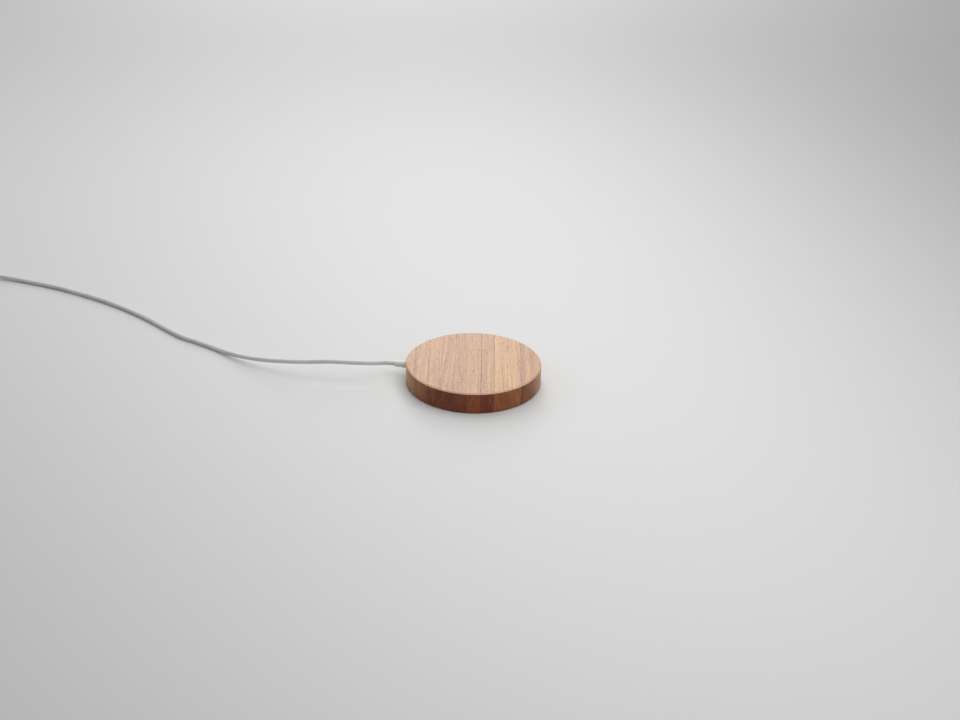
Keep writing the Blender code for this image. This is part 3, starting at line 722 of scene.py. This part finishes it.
def add_cover(screws):
    """The base plate: a rounded edge, a groove round it, a shallow blank panel in the middle, and seats
    for the screws and feet."""
    low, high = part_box("base_cover")
    radius = high.x
    edge, groove = 0.2 * MM, 0.25 * MM
    groove_radius = radius - 1.3 * MM
    panel_radius, panel_depth = 11.5 * MM, 0.2 * MM
    outline = [
        (panel_radius - 0.3 * MM, low.z + panel_depth),
        (panel_radius, low.z + panel_depth - 0.05 * MM),
        (panel_radius + 0.15 * MM, low.z),
        (groove_radius - groove, low.z),
        (groove_radius - groove / 2, low.z + groove),
        (groove_radius + groove / 2, low.z + groove),
        (groove_radius + groove, low.z),
    ]
    outline += arc((radius - edge, low.z + edge), edge, -90, 0, 5)
    outline += [(radius, high.z - 0.1 * MM), (radius - 0.1 * MM, high.z)]
    finish = moulded_finish("base_plastic", rgb(52, 50, 49), rgb(40, 39, 38), 0.5, 0.16, 0.012)
    mesh = turned("base_plate", outline, 224)
    cover = add_piece("base_plate", mesh, finish, ["base_cover"])
    head_gap, foot_gap = 0.18 * MM, 0.1 * MM
    mouth = size("screw_1").x / 2 + head_gap
    shank = 0.95 * MM
    sunk = low.z + 0.12 * MM
    outline = ((mouth, low.z - MM), (mouth, sunk), (shank, sunk + mouth - shank), (shank, high.z + MM))
    sink = turned("sink", outline, 48)
    tools = [cutter(sink, shift(x, y)) for x, y in screws]
    for number in (1, 2, 3):
        foot = f"foot_{number}"
        centre, top = middle(foot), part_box(foot)[1].z
        wide = size(foot).x / 2 + foot_gap
        seat = turned("seat", ((wide, low.z - MM), (wide, top + 0.05 * MM)), 64)
        tools.append(cutter(seat, shift(centre.x, centre.y)))
    carve(cover, tools)


def add_feet():
    """Rubber discs, with a dimple and two shallow rings pressed into their undersides."""
    finish = moulded_finish("foot_rubber", rgb(44, 44, 45), rgb(34, 34, 35), 0.72, 0.1, 0.012)
    for number in (1, 2, 3):
        foot = f"foot_{number}"
        centre, top, radius = middle(foot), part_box(foot)[1].z, size(foot).x / 2
        edge, sunk = 0.18 * MM, 0.12 * MM
        outline = [(0.9 * MM, sunk), (1.05 * MM, 0)]
        for groove in (2.0 * MM, 3.0 * MM):
            outline += [(groove - 0.2 * MM, 0), (groove - 0.1 * MM, sunk)]
            outline += [(groove + 0.1 * MM, sunk), (groove + 0.2 * MM, 0)]
        outline += arc((radius - edge, edge), edge, -90, 0, 5)
        outline += [(radius, top - 0.05 * MM), (radius - 0.05 * MM, top)]
        mesh, place = turned("rubber_foot", outline, 72), shift(centre.x, centre.y)
        add_piece(f"rubber_foot_{number}", mesh, finish, [foot], place)


def cross_tool(depth):
    """A tapered cross, mouth down at z = 0, for a screw's recess."""
    long_side, short_side = 0.78 * MM, 0.2 * MM
    rings = []
    for height, share in ((-0.2 * MM, 1.0), (0.0, 1.0), (depth, 0.62)):
        a, b = long_side * share, short_side * (0.5 + 0.5 * share)
        corners = [(a, -b), (a, b), (b, b)]
        while len(corners) < 12:
            corners += [(-y, x) for x, y in corners[-3:]]
        rings.append([Vector((x, y, height)) for x, y in corners])
    return loft("cross", rings, smooth_degrees=20)


def screw_mesh(length):
    """A countersunk screw with a helical thread, head down at z = 0."""
    head, crest, root, pitch, head_height = 1.5 * MM, 0.7 * MM, 0.52 * MM, 0.6 * MM, 0.8 * MM
    segments, step = 36, 0.05 * MM
    outline = ((head - 0.08 * MM, 0), (head, 0.06 * MM), (head, 0.12 * MM), (crest, head_height))
    rings = [ring(radius, height, segments) for radius, height in outline]
    height = head_height + step
    while height < length - 0.05 * MM:
        grown = smooth_step((height - head_height) / pitch)
        taper = smooth_step((length - height) / (2 * pitch))
        points = []
        for i in range(segments):
            phase = (height / pitch - i / segments) % 1.0
            ridge = max(0.0, 1.0 - abs(phase - 0.5) / 0.32)
            radius = crest + grown * (root + (crest - root) * ridge - crest)
            radius *= 0.35 + 0.65 * taper
            points.append(polar(radius, 2 * math.pi * i / segments, height))
        rings.append(points)
        height += step
    return loft("screw", rings, smooth_degrees=40)


def add_screws(screws):
    finish = metal_finish("screw_steel", rgb(206, 206, 208), rgb(172, 172, 176), 0.28, (3, 3, 3))
    for number, (x, y) in enumerate(screws, 1):
        low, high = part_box(f"screw_{number}")
        place = shift(x, y, low.z) @ Matrix.Rotation(0.6 * number, 4, "Z")
        name, nodes = f"countersunk_screw_{number}", [f"screw_{number}"]
        screw = add_piece(name, screw_mesh(high.z - low.z), finish, nodes, place)
        carve(screw, [cutter(cross_tool(0.75 * MM), place)], smooth_degrees=40)


def add_gland():
    """The moulded strain relief: flange, neck, a collar against the wall, and a tapered sleeve whose
    rounded end has a socket for the lead."""
    low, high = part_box("cable_gland")
    flange = (high.z - low.z) / 2
    start, end = -high.x, -low.x
    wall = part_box("wood_case")[1].x
    socket, socket_depth = 0.95 * MM, 2.2 * MM
    tip, tip_rounding = 1.27 * MM, 0.25 * MM
    outline = [
        (flange - 0.1 * MM, start),
        (flange, start + 0.1 * MM),
        (flange, start + 0.6 * MM),
        (flange - 0.1 * MM, start + 0.7 * MM),
        (1.35 * MM, start + 0.7 * MM),
        (1.35 * MM, wall - 0.35 * MM),
        (1.44 * MM, wall + 0.05 * MM),
        (1.44 * MM, wall + 0.5 * MM),
        (1.42 * MM, wall + 1.4 * MM),
        (1.38 * MM, wall + 2.6 * MM),
        (1.33 * MM, wall + 3.8 * MM),
        (tip + 0.03 * MM, end - 0.6 * MM),
    ]
    outline += arc((tip - tip_rounding, end - tip_rounding), tip_rounding, 0, 80, 4)
    outline += [(socket + 0.02 * MM, end), (socket, end - 0.05 * MM), (socket, end - socket_depth)]
    finish = moulded_finish("white_overmould", rgb(232, 232, 232), rgb(224, 224, 225), 0.42, 0.2, 0.004)
    place = Matrix.Translation((0, 0, middle("cable_gland").z)) @ facing((-1, 0))
    mesh = turned("strain_relief", outline, 56)
    add_piece("strain_relief", mesh, finish, ["cable_gland"], place)


def add_light_pipe():
    """The frosted rod from the lamp to the wall, with a low dome on its outer end."""
    centre = middle("light_pipe")
    out = on_table(centre).normalized()
    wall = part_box("wood_case")[1].x
    start, radius, dome = 24.5 * MM, 0.78 * MM, 0.2 * MM
    end = wall - 0.02 * MM
    outline = [(radius - 0.1 * MM, start), (radius, start + 0.1 * MM), (radius, end - dome)]
    outline += [(radius * math.cos(a), end - dome + dome * math.sin(a)) for a in (0.3, 0.6, 0.9, 1.2, 1.45)]
    made = Finish("frosted_pipe", roughness=0.35, transmission_weight=0.35, ior=1.49)
    frost = made.noise(made.place(), 9.0, 3.0)
    made.colour(made.mix(frost, rgb(226, 228, 230), rgb(240, 241, 242)))
    made.bump(frost, 0.004)
    place = shift(0, 0, centre.z) @ facing(out)
    mesh = turned("light_rod", outline, 32)
    add_piece("light_rod", mesh, made.material, ["light_pipe"], place)


# ---- Tie and plug


def add_tie():
    """A strap round the coil of lead, its end lapped over itself on the coil's outer side."""
    centre = on_table(middle("cable_coil"))
    reach = on_table(middle("cable_tie")) - centre
    out = reach.normalized()
    strap_width, thickness = 2.6 * MM, 0.42 * MM
    inside_width, inside_height, corner = 5.9 * MM, 7.85 * MM, 1.6 * MM
    middle_height = middle("cable_coil").z
    loop = rounded_rectangle(inside_width, inside_height, corner, 10)
    lengths = [0.0]
    for a, b in zip(loop, loop[1:] + loop[:1]):
        lengths.append(lengths[-1] + (b - a).length)
    around = lengths[-1]

    def on_loop(distance):
        distance %= around
        for a, b, start, end in zip(loop, loop[1:] + loop[:1], lengths, lengths[1:]):
            if start <= distance <= end and end > start:
                return a.lerp(b, (distance - start) / (end - start))
        return loop[0]

    steps, rounded_steps, start_at, turns = 150, 6, 0.81 * around, 1.2
    centreline = []
    for k in range(steps + 1):
        distance = start_at + around * turns * k / steps
        lift = smooth_step((distance - start_at - around * 0.97) / (around * 0.05))
        point = on_loop(distance)
        ahead = on_loop(distance + 0.02 * MM) - on_loop(distance - 0.02 * MM)
        normal = Vector((0, ahead.z, -ahead.y)).normalized()
        centreline.append((point + normal * (thickness / 2 + lift * (thickness + 0.03 * MM)), normal))
    rings = []
    half, edge = strap_width / 2, 0.12 * MM
    for number, (point, normal) in enumerate(centreline):
        past = max(0, number - steps + rounded_steps) / (rounded_steps + 0.2)
        side = half * math.sqrt(max(0.02, 1 - past**2))
        thick = thickness / 2
        profile = (
            (-side, -thick + edge),
            (-side + edge, -thick),
            (side - edge, -thick),
            (side, -thick + edge),
            (side, thick - edge),
            (side - edge, thick),
            (-side + edge, thick),
            (-side, thick - edge),
        )
        rings.append([point + Vector((x, 0, 0)) + normal * t for x, t in profile])
    mesh = loft("strap", rings, smooth_degrees=50)
    # In the strap's own frame X runs along the lead, Y out from the coil's middle and Z up.
    turn = Matrix.Rotation(math.atan2(out.y, out.x) - math.pi / 2, 4, "Z")
    place = Matrix.Translation(centre + reach + Vector((0, 0, middle_height))) @ turn
    finish = woven_finish("strap_weave", rgb(58, 58, 60), rgb(26, 26, 27), 0.3)
    add_piece("coil_strap", mesh, finish, ["cable_tie"], place)


PLUG_TURN = Matrix.Rotation(-math.pi / 2, 4, "Z")


def plug_matrix():
    """The plug's own frame: its body's back end at the origin, +X the way that it is pushed in."""
    centre = middle("plug_body")
    return shift(centre.x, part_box("plug_body")[1].y, centre.z) @ PLUG_TURN


def add_plug_body(finish):
    """The plug's grip: softly rounded, a little fuller at the front, with a shallow blank oval on each
    broad face and a row of short ribs on each side."""
    width, length, height = size("plug_body")
    around, stations = 120, 84
    corner, back_round, front_round = 2.0 * MM, 1.9 * MM, 0.7 * MM
    oval_reach, oval_half, oval_depth = 6.2 * MM, 4.0 * MM, 0.28 * MM
    ribs_start, ribs_end, rib_fade = 6.2 * MM, 14.8 * MM, 0.8 * MM
    rib_pitch, rib_depth = 1.5 * MM, 0.16 * MM
    base = rounded_rectangle(width, height, corner, around // 4 - 1)
    rings = []
    for k in range(stations + 1):
        x = length * 0.5 * (1 - math.cos(math.pi * k / stations))
        x = min(max(x, 0.0), length)
        back = max(0.0, 1 - x / back_round)
        front = max(0.0, 1 - (length - x) / front_round)
        inset = 0.9 * back_round * (1 - math.sqrt(1 - back**2))
        inset += 0.9 * front_round * (1 - math.sqrt(1 - front**2))
        waist = 0.35 * MM * smooth_step((0.55 * length - x) / (0.5 * length))
        points = []
        for point in base:
            y, z = point.y, point.z
            y -= math.copysign(min(abs(y), waist + inset), y)
            z -= math.copysign(min(abs(z), inset), z)
            oval = ((x - 0.56 * length) / oval_reach) ** 2 + (y / oval_half) ** 2
            if abs(z) > 0.4 * height:
                z -= math.copysign(oval_depth * smooth_step((1.06 - oval) / 0.22), z)
            rib = 0.5 + 0.5 * math.cos(2 * math.pi * (x - ribs_start - rib_fade) / rib_pitch)
            zone = smooth_step((x - ribs_start) / rib_fade) * smooth_step((ribs_end - x) / rib_fade)
            side = smooth_step((abs(y) - 0.45 * width) / (0.04 * width))
            side *= smooth_step((0.36 * height - abs(z)) / (0.1 * height))
            y -= math.copysign(rib_depth * (1 - rib) * zone * side, y)
            points.append(Vector((x, y, z)))
        rings.append(points)
    mesh = loft("plug_grip", rings, smooth_degrees=50)
    add_piece("plug_grip", mesh, finish, ["plug_body"], plug_matrix())


def add_plug_relief(finish):
    """The plug's own strain relief: a tapered sleeve cut by rings, which let the real one bend."""
    width, length, _ = size("plug_strain_relief")
    wide, narrow = width / 2, 1.3 * MM
    rings_cut, groove, depth = 5, 0.42 * MM, 0.3 * MM
    spacing = (length - 1.4 * MM) / rings_cut
    socket = 0.95 * MM
    start = -0.5 * MM  # runs into the body

    def radius_at(distance):
        return wide + (narrow - wide) * min(1.0, max(0.0, distance / length))

    outline = [(wide, start), (wide, 0.35 * MM)]
    for number in range(rings_cut):
        at = 0.6 * MM + number * spacing
        outline += [
            (radius_at(at) - 0.02 * MM, at),
            (radius_at(at) - depth, at + 0.08 * MM),
            (radius_at(at + groove) - depth, at + groove - 0.08 * MM),
            (radius_at(at + groove) - 0.02 * MM, at + groove),
            (radius_at(at + groove + 0.08 * MM), at + groove + 0.08 * MM),
            (radius_at(at + spacing - 0.08 * MM), at + spacing - 0.08 * MM),
        ]
    outline += [(narrow, length - 0.25 * MM), (narrow - 0.07 * MM, length - 0.07 * MM)]
    outline += [(narrow - 0.2 * MM, length), (socket, length), (socket, length - 1.5 * MM)]
    mesh = turned("plug_relief", outline, 56)
    place = plug_matrix() @ shift(-0.3 * MM, 0) @ Matrix.Rotation(-math.pi / 2, 4, "Y")
    add_piece("plug_relief", mesh, finish, ["plug_strain_relief"], place)


def add_plug_shell():
    """The folded steel shell, with its mouth eased, two windows above and below, and its seam below."""
    width, _, height = size("plug_shell")
    front = plug_matrix().translation.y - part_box("plug_shell")[0].y
    back = size("plug_body").y - 1.0 * MM
    wall, corner = 0.35 * MM, 0.6 * MM
    rings = []
    sections = (
        (back, 0.0),
        (front - 0.5 * MM, 0.0),
        (front - 0.15 * MM, 0.05 * MM),
        (front, 0.14 * MM),
    )
    for x, shrink in sections:
        outer = rounded_rectangle(width - 2 * shrink, height - 2 * shrink, corner, 6)
        rings.append([Vector((x, p.y, p.z)) for p in outer])
    for x, shrink in reversed(sections):
        inset = max(wall, shrink + 0.1 * MM)
        inner = rounded_rectangle(width - 2 * inset, height - 2 * inset, corner - wall + 0.1 * MM, 6)
        rings.append([Vector((x - (0 if x == back else 0.02 * MM), p.y, p.z)) for p in inner])
    mesh = loft("plug_sleeve", rings, closed=True)
    finish = metal_finish("nickel_shell", rgb(214, 214, 214), rgb(188, 188, 190), 0.22, (0.3, 9.0, 9.0))
    shell = add_piece("plug_sleeve", mesh, finish, ["plug_shell"], plug_matrix())
    tools = []
    hole = rounded_rectangle(2.2 * MM, 2.4 * MM, 0.2 * MM, 3)
    window = loft("window", [[Vector((p.z, p.y, reach)) for p in hole] for reach in (-4 * MM, 4 * MM)])
    for side in (-1, 1):
        place = shift(front - 6.0 * MM, side * 2.8 * MM)
        tools.append(cutter(window, plug_matrix() @ place))
    seam_top = -height / 2 + 0.2 * MM
    seam = ((-0.06 * MM, -height), (0.06 * MM, -height), (0.04 * MM, seam_top), (-0.04 * MM, seam_top))
    tools.append(cutter(bar("seam", seam, back - MM, front + MM), plug_matrix()))
    carve(shell, tools, smooth_degrees=30)


def bevelled(mesh, width):
    """The mesh with its sharp edges rounded by a narrow bevel."""
    bm = bmesh.new()
    bm.from_mesh(mesh)
    sharp = [edge for edge in bm.edges if len(edge.link_faces) == 2 and edge.calc_face_angle() > 0.6]
    bmesh.ops.bevel(bm, geom=sharp, offset=width, segments=2, affect="EDGES", profile=0.5)
    return finished_mesh(bm, mesh.name, 40)


def add_plug_tongue():
    """The insulator: a block at the back and a thin tongue, with a channel for each contact."""
    low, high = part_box("plug_tongue")
    origin = plug_matrix().translation
    back, front = origin.y - high.y, origin.y - low.y
    width, bottom, top = high.x - low.x, low.z - origin.z, high.z - origin.z
    contact_low, contact_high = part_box("plug_contact_1")
    gap = 0.3 * MM  # the CAD's, between the tongue and each contact
    block = origin.y - contact_high.y - gap
    tongue_top = contact_low.z - origin.z - gap
    rings = []
    for x, upper in ((back, top), (block, top), (block, tongue_top), (front, tongue_top)):
        rings.append([Vector((x, y, z)) for y, z in rectangle(width / 2, bottom, upper)])
    mesh = bevelled(loft("plug_insulator", rings), 0.12 * MM)
    finish = moulded_finish("insulator_plastic", rgb(232, 232, 228), rgb(222, 222, 218), 0.4, 0.15, 0.004)
    tongue = add_piece("plug_insulator", mesh, finish, ["plug_tongue"], plug_matrix())
    gold = metal_finish("contact_gold", rgb(232, 190, 112), rgb(214, 168, 88), 0.22, (0.3, 9.0, 9.0))
    tools = []
    for number in (1, 2, 3, 4):
        contact = f"plug_contact_{number}"
        y = middle(contact).x - origin.x
        start, end = block - gap, origin.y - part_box(contact)[0].y
        half = size(contact).x / 2
        place = plug_matrix() @ shift(0, y)
        channel = rectangle(half + 0.08 * MM, tongue_top - 0.12 * MM, tongue_top + 0.4 * MM)
        tools.append(cutter(bar("channel", channel, block - 0.6 * MM, end + 0.15 * MM), place))
        levels = (
            (start, 0.10 * MM),
            (start + 1.2 * MM, 0.10 * MM),
            (end - 2.6 * MM, 0.16 * MM),
            (end - 1.4 * MM, 0.24 * MM),
            (end - 0.6 * MM, 0.16 * MM),
            (end, -0.06 * MM),
        )
        strip = []
        for x, lift in levels:
            profile = rectangle(half, tongue_top + lift - 0.14 * MM, tongue_top + lift + 0.04 * MM)
            strip.append([Vector((x, side, z)) for side, z in profile])
        mesh = bevelled(loft("contact_strip", strip), 0.03 * MM)
        add_piece(f"contact_strip_{number}", mesh, gold, [contact], place)
    carve(tongue, tools, smooth_degrees=40)


# ---- Inner parts


def dress(node, finish):
    """Gives a carried-over CAD node its finish."""
    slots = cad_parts[node].data.materials
    slots.clear()
    slots.append(finish)


def add_transmit_coil():
    """The flat coil, wound from a twisted bundle of enamelled strands."""
    low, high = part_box("transmit_coil")
    inner, pitch, turns, start = 10.4 * MM, 1.05 * MM, 9.1, 40
    half_width, half_height = 0.42 * MM, (high.z - low.z) / 2 - 0.02 * MM
    level = (low.z + high.z) / 2
    per_turn, around, strands, twist = 90, 20, 7, 0.5
    rings = []
    for step in range(round(turns * per_turn) + 1):
        turn = step / per_turn
        angle = math.radians(start) + 2 * math.pi * turn
        radius = inner + pitch * turn
        out = polar(1, angle, 0)
        points = []
        for i in range(around):
            phase = 2 * math.pi * i / around
            groove = 0.9 + 0.1 * abs(math.cos(strands * 0.5 * phase + twist * step))
            offset = out * (half_width * groove * math.cos(phase))
            height = level + half_height * groove * math.sin(phase)
            points.append(out * radius + offset + Vector((0, 0, height)))
        rings.append(points)
    finish = metal_finish("enamelled_strands", rgb(206, 126, 78), rgb(170, 96, 56), 0.32, (5, 5, 5), 0.01)
    mesh = loft("coil_winding", rings, smooth_degrees=60)
    add_piece("coil_winding", mesh, finish, ["transmit_coil"])


def dress_inner_parts():
    """Finishes for the parts inside the case, which keep their CAD shapes."""
    chip = chip_finish()
    for node in ("controller_chip", "power_stage_chip", "supply_inductor", "voltage_regulator"):
        dress(node, chip)
    resistor = ceramic_finish("resistor_body", rgb(40, 41, 44), rgb(26, 27, 30))
    for node in ("sense_resistor", "signal_resistor_1", "signal_resistor_2", "signal_resistor_3"):
        dress(node, resistor)
    ceramic = ceramic_finish("capacitor_ceramic", rgb(188, 160, 124), rgb(168, 138, 100))
    capacitors = [f"resonant_capacitor_{number}" for number in (1, 2, 3, 4)]
    for node in (*capacitors, "input_capacitor_1", "input_capacitor_2", "coil_thermistor"):
        dress(node, ceramic)
    dress("crystal", metal_finish("crystal_can", rgb(214, 212, 206), rgb(190, 188, 182), 0.3, (3, 3, 3)))
    dress("ferrite_shield", ferrite_finish())
    dress("main_board", board_finish())
    film = moulded_finish("adhesive_film", rgb(206, 196, 160), rgb(192, 182, 146), 0.35, 0.4, 0.01)
    dress("coil_adhesive_pad", film)
    sleeve = woven_finish("sleeve_weave", rgb(228, 224, 210), rgb(176, 170, 152), 0.2)
    dress("coil_lead_inner", sleeve)
    dress("coil_lead_outer", sleeve)
    lamp = moulded_finish("lamp_body", rgb(238, 236, 226), rgb(228, 224, 210), 0.25, 0.2, 0.003)
    dress("status_led", lamp)
    red = moulded_finish("red_insulation", rgb(186, 34, 30), rgb(166, 26, 24), 0.4, 0.15, 0.005)
    dress("wire_red", red)
    black = moulded_finish("black_insulation", rgb(34, 34, 36), rgb(26, 26, 28), 0.4, 0.15, 0.005)
    dress("wire_black", black)


# ---- Studio

KEY_PLACE = (0.06, 0.03, 0.30)
KEY_SIZE = (0.76, 0.30)
KEY_POWER = 1.13
BACK_PLACE = (-0.26, 1.0, 0.42)
BACK_SIZE = (0.46, 0.46)
BACK_POWER = 3.7
SIDE_PLACE = (-0.55, 0.10, 0.35)
SIDE_SIZE = (0.3, 0.3)
SIDE_POWER = 0.4
WORLD_STRENGTH = 0.20
FLOOR_REACH = 4.0
AIM = (0.0, 0.0, 0.0)


def add_area_light(name, place, size, power):
    """A rectangular light turned towards the pad."""
    data = bpy.data.lights.new(name, "AREA")
    data.shape = "RECTANGLE"
    data.size, data.size_y = size
    data.energy = power
    light = add_object(name, data)
    light.location = place
    light.rotation_euler = (Vector(AIM) - Vector(place)).to_track_quat("-Z", "Y").to_euler()


def add_studio():
    """A pale floor, a wide soft light above, one behind, a weak one at the left, and an even surround."""
    bm = bmesh.new()
    bmesh.ops.create_grid(bm, x_segments=2, y_segments=2, size=FLOOR_REACH)
    floor = add_object("floor", finished_mesh(bm, "floor"))
    made = Finish("pale_floor", roughness=0.75, specular_ior_level=0.2)
    made.colour(rgb(227, 228, 227))
    floor.data.materials.append(made.material)
    add_area_light("key", KEY_PLACE, KEY_SIZE, KEY_POWER)
    add_area_light("back", BACK_PLACE, BACK_SIZE, BACK_POWER)
    add_area_light("side", SIDE_PLACE, SIDE_SIZE, SIDE_POWER)
    world = bpy.data.worlds.new("surround")
    world.use_nodes = True
    background = world.node_tree.nodes["Background"]
    background.inputs["Color"].default_value = (1.0, 1.0, 1.0, 1.0)
    background.inputs["Strength"].default_value = WORLD_STRENGTH
    bpy.context.scene.world = world
    bpy.context.scene.view_settings.view_transform = "Standard"


add_camera()
cord = add_cord()
cord.data.materials.append(jacket_finish())
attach(cord, "root")
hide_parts("cable_run", "cable_coil", "cable_tail")
screw_places = [tuple(middle(f"screw_{number}").xy) for number in (1, 2, 3)]
add_case(screw_places)
add_cover(screw_places)
add_feet()
add_screws(screw_places)
add_gland()
add_light_pipe()
add_tie()
grip_finish = moulded_finish("plug_plastic", rgb(214, 216, 217), rgb(209, 211, 212), 0.42, 0.14, 0.006)
add_plug_body(grip_finish)
add_plug_relief(grip_finish)
add_plug_shell()
add_plug_tongue()
add_transmit_coil()
dress_inner_parts()
add_studio()
